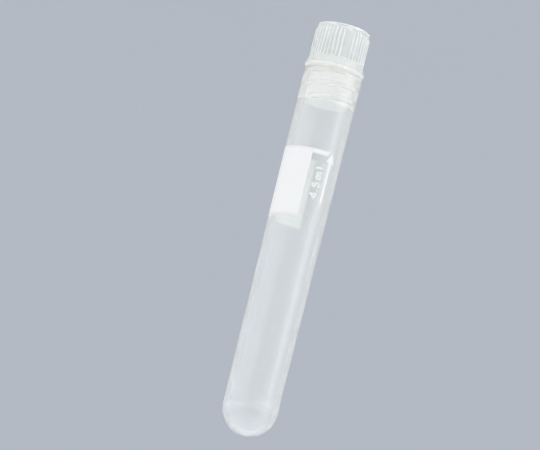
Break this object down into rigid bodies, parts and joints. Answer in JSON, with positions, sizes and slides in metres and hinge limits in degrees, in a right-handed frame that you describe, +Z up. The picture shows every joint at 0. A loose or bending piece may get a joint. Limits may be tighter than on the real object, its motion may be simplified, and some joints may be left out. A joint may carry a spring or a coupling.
{
  "type": "cryovial",
  "caption": "Round-bottomed cryogenic sample vial of translucent plastic, standing on its ribbed screw cap, whose threaded plug goes inside the mouth over a sealing ring.",
  "frame": {"origin": "on the surface it stands on, in the middle of the cap's flat top", "axes": "+Z up along the vial's axis, from the cap's flat top to the round bottom; the front, with the fill line's arrow, faces -Y"},
  "size_m": [0.013, 0.0131, 0.092],
  "materials": {
    "natural_polypropylene": "translucent natural moulding, smooth and slightly hazy",
    "cap_polypropylene": "translucent natural moulding, milky where thick",
    "silicone": "translucent cream silicone"
  },
  "bodies": {
    "cap": {"screw_cap": "cap_polypropylene"},
    "ring": {"sealing_ring": "silicone"},
    "tube": {"vial_tube": "natural_polypropylene"}
  },
  "joints": [
    {"name": "tube_turn", "type": "hinge", "parent": "cap", "child": "ring", "pos_m": [0, 0, 0.0103], "axis": [0, 0, 1], "range_deg": [0, 900]},
    {"name": "tube_rise", "type": "slide", "parent": "ring", "child": "tube", "axis": [0, 0, 1], "range_m": [0, 0.0075]}
  ],
  "couplings": [
    {"joint": "tube_turn", "follows": "tube_rise", "rad_per_m": 2094.4}
  ]
}
